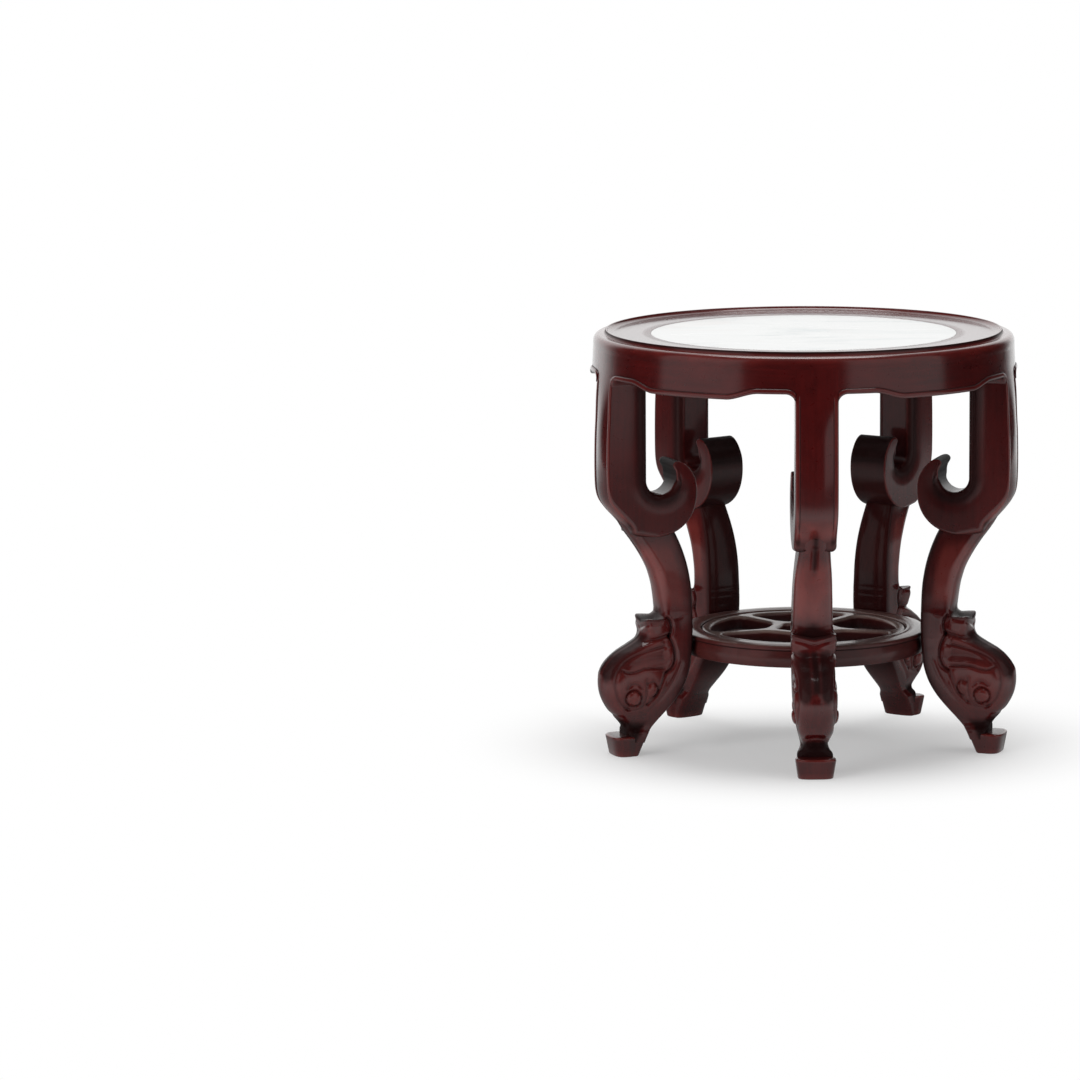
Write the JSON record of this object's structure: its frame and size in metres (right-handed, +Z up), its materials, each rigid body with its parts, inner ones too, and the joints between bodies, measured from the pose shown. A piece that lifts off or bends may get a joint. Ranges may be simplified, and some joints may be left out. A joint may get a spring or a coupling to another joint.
{
  "type": "display stand",
  "caption": "Round hardwood display stand with an inset marble top, hooked scroll knees, carved fish feet and a pierced round shelf.",
  "frame": {"origin": "on the floor under the centre of the round top", "axes": "+Z up along the stand's axis; the front leg points to -Y"},
  "size_m": [0.2566, 0.2575, 0.253],
  "materials": {
    "lacquered_hardwood": "gloss",
    "bare_hardwood": "matte",
    "marble": "polished"
  },
  "bodies": {
    "root": {"marble_panel": "marble", "frame_front": "lacquered_hardwood", "frame_right": "lacquered_hardwood", "frame_back_right": "lacquered_hardwood", "frame_back_left": "lacquered_hardwood", "frame_left": "lacquered_hardwood", "apron_front_right": "lacquered_hardwood", "apron_right": "lacquered_hardwood", "apron_back": "lacquered_hardwood", "apron_left": "lacquered_hardwood", "apron_front_left": "lacquered_hardwood", "leg_front": "lacquered_hardwood", "leg_right": "lacquered_hardwood", "leg_back_right": "lacquered_hardwood", "leg_back_left": "lacquered_hardwood", "leg_left": "lacquered_hardwood", "shelf_ring_front": "lacquered_hardwood", "shelf_ring_right": "lacquered_hardwood", "shelf_ring_back_right": "lacquered_hardwood", "shelf_ring_back_left": "lacquered_hardwood", "shelf_ring_left": "lacquered_hardwood", "shelf_fret": "lacquered_hardwood", "frame_splines": "bare_hardwood", "shelf_splines": "bare_hardwood", "cross_brace_right": "bare_hardwood", "cross_brace_left": "bare_hardwood"}
  },
  "joints": []
}
